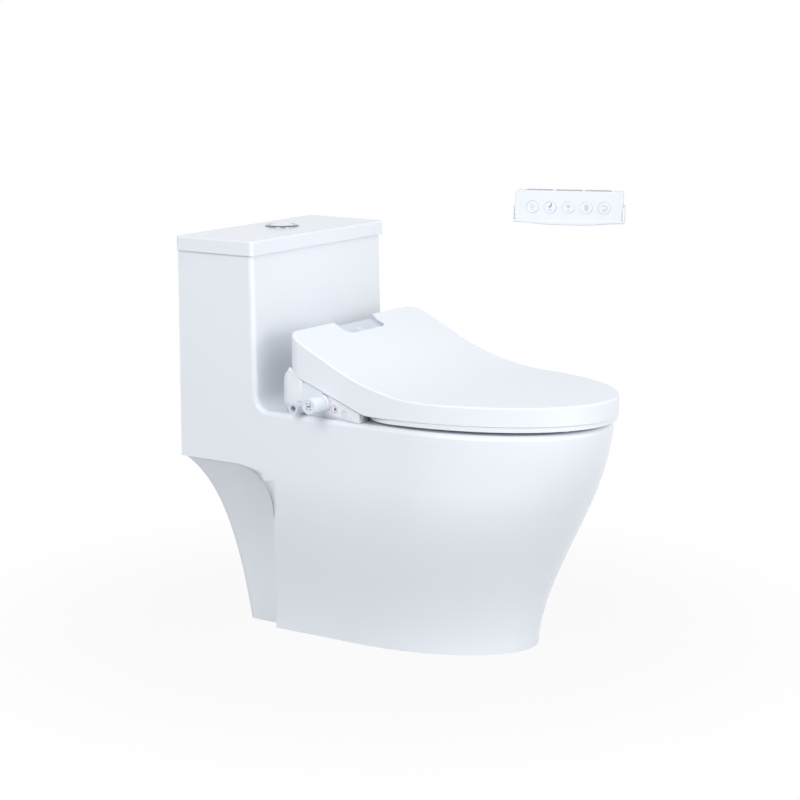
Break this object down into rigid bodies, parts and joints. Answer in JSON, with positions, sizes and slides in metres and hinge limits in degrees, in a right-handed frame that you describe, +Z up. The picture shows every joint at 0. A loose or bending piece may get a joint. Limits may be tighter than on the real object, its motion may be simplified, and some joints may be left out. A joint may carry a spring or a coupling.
{
  "type": "smart toilet",
  "caption": "one-piece skirted toilet with a heated bidet seat, sloping seat lid, filter knob and side buttons on the unit, dual flush button in the cistern lid, and a wall remote in its cradle",
  "frame": {"origin": "centre of the waste outlet at floor level", "axes": "+Z up; -Y is the front, which the user faces when sitting; +X is the sitting user's left side"},
  "size_m": [0.5285, 0.728, 0.7405],
  "materials": {
    "glazed_china": "smooth vitreous glaze",
    "dark_rubber": "matte",
    "chrome_ring": "bright plated",
    "button_white": "satin",
    "valve_plastic": "moulded",
    "valve_nut_plastic": "moulded",
    "canister_plastic": "moulded",
    "seal_red": "matte",
    "hose_rubber": "smooth",
    "grey_plastic": "moulded",
    "bolt_steel": "brushed",
    "pin_steel": "ground",
    "damper_plastic": "moulded",
    "white_plastic": "polished moulding",
    "panel_grey": "translucent grey-blue",
    "nipple_plastic": "moulded",
    "knob_plastic": "moulded",
    "stop_plastic": "moulded",
    "light_plastic": "moulded",
    "nozzle_steel": "polished",
    "motor_steel": "plain",
    "heater_tank_plastic": "glass-filled moulding",
    "board_green": "lacquered",
    "heater_foil": "foil",
    "bumper_rubber": "soft matte",
    "remote_white": "satin moulding",
    "cell_steel": "wrapped",
    "key_plastic": "satin",
    "key_grey": "satin"
  },
  "bodies": {
    "toilet": {"china_body": "glazed_china", "floor_seal": "dark_rubber", "flush_valve_base": "valve_plastic", "flush_valve_gasket": "dark_rubber", "flush_valve_nut": "valve_nut_plastic", "flush_valve_cage": "valve_plastic", "fill_valve_body": "valve_plastic", "fill_valve_gasket": "dark_rubber", "fill_valve_nut": "valve_nut_plastic", "refill_hose": "hose_rubber", "mounting_plate": "grey_plastic", "mounting_bolts": "bolt_steel", "unit_chassis": "grey_plastic", "hinge_pins": "pin_steel", "hinge_dampers": "damper_plastic", "unit_cover": "white_plastic", "sensor_panel": "panel_grey", "inlet_valve": "grey_plastic", "inlet_nipple": "nipple_plastic", "nozzle_guide": "grey_plastic", "nozzle_motors": "motor_steel", "water_heater": "heater_tank_plastic", "dryer_housing": "damper_plastic", "control_board": "board_green", "deodorizer_cartridge": "damper_plastic", "cord_gland": "dark_rubber", "remote_cradle": "remote_white"},
    "cistern_lid": {"cistern_lid": "glazed_china", "flush_bezel": "chrome_ring"},
    "flush_button_full": {"flush_button_full": "button_white"},
    "flush_button_half": {"flush_button_half": "button_white"},
    "flush_canister": {"flush_canister": "canister_plastic", "canister_seal": "seal_red"},
    "fill_float": {"fill_valve_float": "canister_plastic"},
    "filter": {"filter_cap": "knob_plastic", "filter_mesh": "pin_steel"},
    "stop_button": {"stop_button": "stop_plastic"},
    "light_button": {"light_button": "light_plastic"},
    "rear_nozzle": {"rear_nozzle": "nozzle_steel"},
    "front_nozzle": {"front_nozzle": "nozzle_steel"},
    "dryer_impeller": {"dryer_impeller": "grey_plastic"},
    "seat": {"seat_bottom_shell": "white_plastic", "seat_top_shell": "white_plastic", "seat_heater": "heater_foil", "seat_bumpers": "bumper_rubber"},
    "seat_lid": {"seat_lid": "white_plastic", "lid_bumpers": "bumper_rubber"},
    "remote": {"remote_front_case": "remote_white", "remote_back_case": "remote_white", "remote_batteries": "cell_steel", "remote_board": "board_green"},
    "battery_door": {"battery_door": "remote_white"},
    "remote_key_1": {"remote_key_1": "key_plastic"},
    "remote_key_2": {"remote_key_2": "key_plastic"},
    "remote_key_3": {"remote_key_3": "key_plastic"},
    "remote_key_4": {"remote_key_4": "key_plastic"},
    "remote_key_5": {"remote_key_5": "key_plastic"},
    "remote_top_key_1": {"remote_top_key_1": "key_grey"},
    "remote_top_key_2": {"remote_top_key_2": "key_grey"},
    "remote_top_key_3": {"remote_top_key_3": "key_grey"}
  },
  "joints": [
    {"name": "cistern_lid_lift", "type": "slide", "parent": "toilet", "child": "cistern_lid", "axis": [0, 0, 1], "range_m": [0, 0.05]},
    {"name": "flush_button_full_press", "type": "slide", "parent": "cistern_lid", "child": "flush_button_full", "axis": [0, 0, -1], "range_m": [0, 0.008], "stiffness_N_per_m": 400, "springref_m": -0.004},
    {"name": "flush_button_half_press", "type": "slide", "parent": "cistern_lid", "child": "flush_button_half", "axis": [0, 0, -1], "range_m": [0, 0.008], "stiffness_N_per_m": 400, "springref_m": -0.004},
    {"name": "canister_lift", "type": "slide", "parent": "toilet", "child": "flush_canister", "axis": [0, 0, 1], "range_m": [0, 0.02]},
    {"name": "float_drop", "type": "slide", "parent": "toilet", "child": "fill_float", "axis": [0, 0, 1], "range_m": [-0.06, 0]},
    {"name": "filter_turn", "type": "hinge", "parent": "toilet", "child": "filter", "pos_m": [-0.19, -0.01, 0.416], "axis": [1, 0, 0], "range_deg": [0, 90]},
    {"name": "stop_button_press", "type": "slide", "parent": "toilet", "child": "stop_button", "axis": [1, 0, 0], "range_m": [0, 0.0015], "stiffness_N_per_m": 400, "springref_m": -0.001},
    {"name": "light_button_press", "type": "slide", "parent": "toilet", "child": "light_button", "axis": [1, 0, 0], "range_m": [0, 0.0015], "stiffness_N_per_m": 400, "springref_m": -0.001},
    {"name": "rear_nozzle_extend", "type": "slide", "parent": "toilet", "child": "rear_nozzle", "axis": [0, -0.8988, -0.4384], "range_m": [0, 0.075]},
    {"name": "front_nozzle_extend", "type": "slide", "parent": "toilet", "child": "front_nozzle", "axis": [0, -0.8988, -0.4384], "range_m": [0, 0.09]},
    {"name": "dryer_spin", "type": "hinge", "parent": "toilet", "child": "dryer_impeller", "pos_m": [0.054, -0.024, 0.4175], "axis": [1, 0, 0], "continuous": true},
    {"name": "seat_hinge", "type": "hinge", "parent": "toilet", "child": "seat", "pos_m": [0, 0.063, 0.472], "axis": [-1, 0, 0], "range_deg": [0, 98]},
    {"name": "seat_lid_hinge", "type": "hinge", "parent": "seat", "child": "seat_lid", "pos_m": [0, 0.063, 0.472], "axis": [1, 0, 0], "range_deg": [-105, 0]},
    {"name": "remote_lift", "type": "slide", "parent": "toilet", "child": "remote", "axis": [0, 0, 1], "range_m": [0, 0.03]},
    {"name": "battery_door_slide", "type": "slide", "parent": "remote", "child": "battery_door", "axis": [0, 0, 1], "range_m": [0, 0.02]},
    {"name": "remote_key_1_press", "type": "slide", "parent": "remote", "child": "remote_key_1", "axis": [0.9285, 0.3714, 0], "range_m": [0, 0.001], "stiffness_N_per_m": 300, "springref_m": -0.001},
    {"name": "remote_key_2_press", "type": "slide", "parent": "remote", "child": "remote_key_2", "axis": [0.9285, 0.3714, 0], "range_m": [0, 0.001], "stiffness_N_per_m": 300, "springref_m": -0.001},
    {"name": "remote_key_3_press", "type": "slide", "parent": "remote", "child": "remote_key_3", "axis": [0.9285, 0.3714, 0], "range_m": [0, 0.001], "stiffness_N_per_m": 300, "springref_m": -0.001},
    {"name": "remote_key_4_press", "type": "slide", "parent": "remote", "child": "remote_key_4", "axis": [0.9285, 0.3714, 0], "range_m": [0, 0.001], "stiffness_N_per_m": 300, "springref_m": -0.001},
    {"name": "remote_key_5_press", "type": "slide", "parent": "remote", "child": "remote_key_5", "axis": [0.9285, 0.3714, 0], "range_m": [0, 0.001], "stiffness_N_per_m": 300, "springref_m": -0.001},
    {"name": "remote_top_key_1_press", "type": "slide", "parent": "remote", "child": "remote_top_key_1", "axis": [0, 0, -1], "range_m": [0, 0.001], "stiffness_N_per_m": 300, "springref_m": -0.001},
    {"name": "remote_top_key_2_press", "type": "slide", "parent": "remote", "child": "remote_top_key_2", "axis": [0, 0, -1], "range_m": [0, 0.001], "stiffness_N_per_m": 300, "springref_m": -0.001},
    {"name": "remote_top_key_3_press", "type": "slide", "parent": "remote", "child": "remote_top_key_3", "axis": [0, 0, -1], "range_m": [0, 0.001], "stiffness_N_per_m": 300, "springref_m": -0.001}
  ],
  "couplings": [
    {"joint": "flush_button_full_press", "follows": "canister_lift", "ratio": 0.4}
  ]
}
